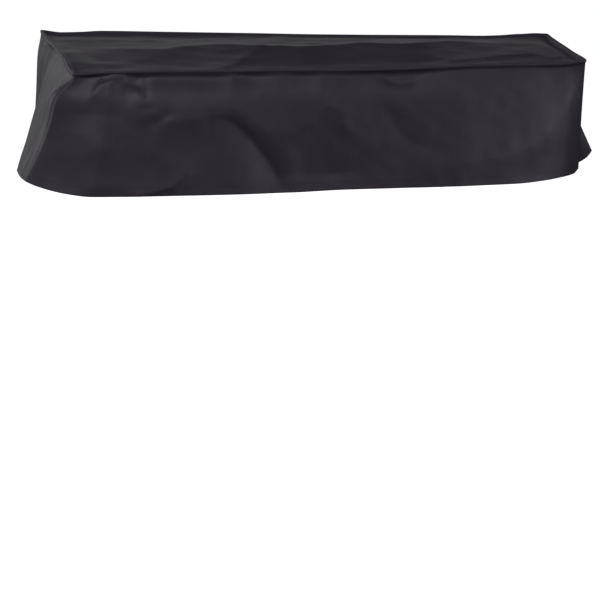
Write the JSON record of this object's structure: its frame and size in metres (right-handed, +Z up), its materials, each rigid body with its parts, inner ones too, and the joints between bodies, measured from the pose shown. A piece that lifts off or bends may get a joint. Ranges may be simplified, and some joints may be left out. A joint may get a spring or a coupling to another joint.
{
  "type": "xylophone cover",
  "caption": "Hollow fitted cover of black coated cloth for a table-top xylophone: a tapering trapezoid top with flared skirts, open underneath.",
  "frame": {"origin": "point on the underside of the top panel, at the middle of the length and of the depth there, where the cover rests", "axes": "+X along the long front edge from the bass end to the treble end, +Y from the front to the back, +Z up"},
  "size_m": [1.2109, 0.6215, 0.2621],
  "materials": {
    "cover_cloth": "black coated plain-weave cloth with a low sheen"
  },
  "bodies": {
    "root": {"top_panel": "cover_cloth", "front_panel": "cover_cloth", "treble_end_panel": "cover_cloth", "back_panel": "cover_cloth", "bass_end_panel": "cover_cloth"}
  },
  "joints": []
}
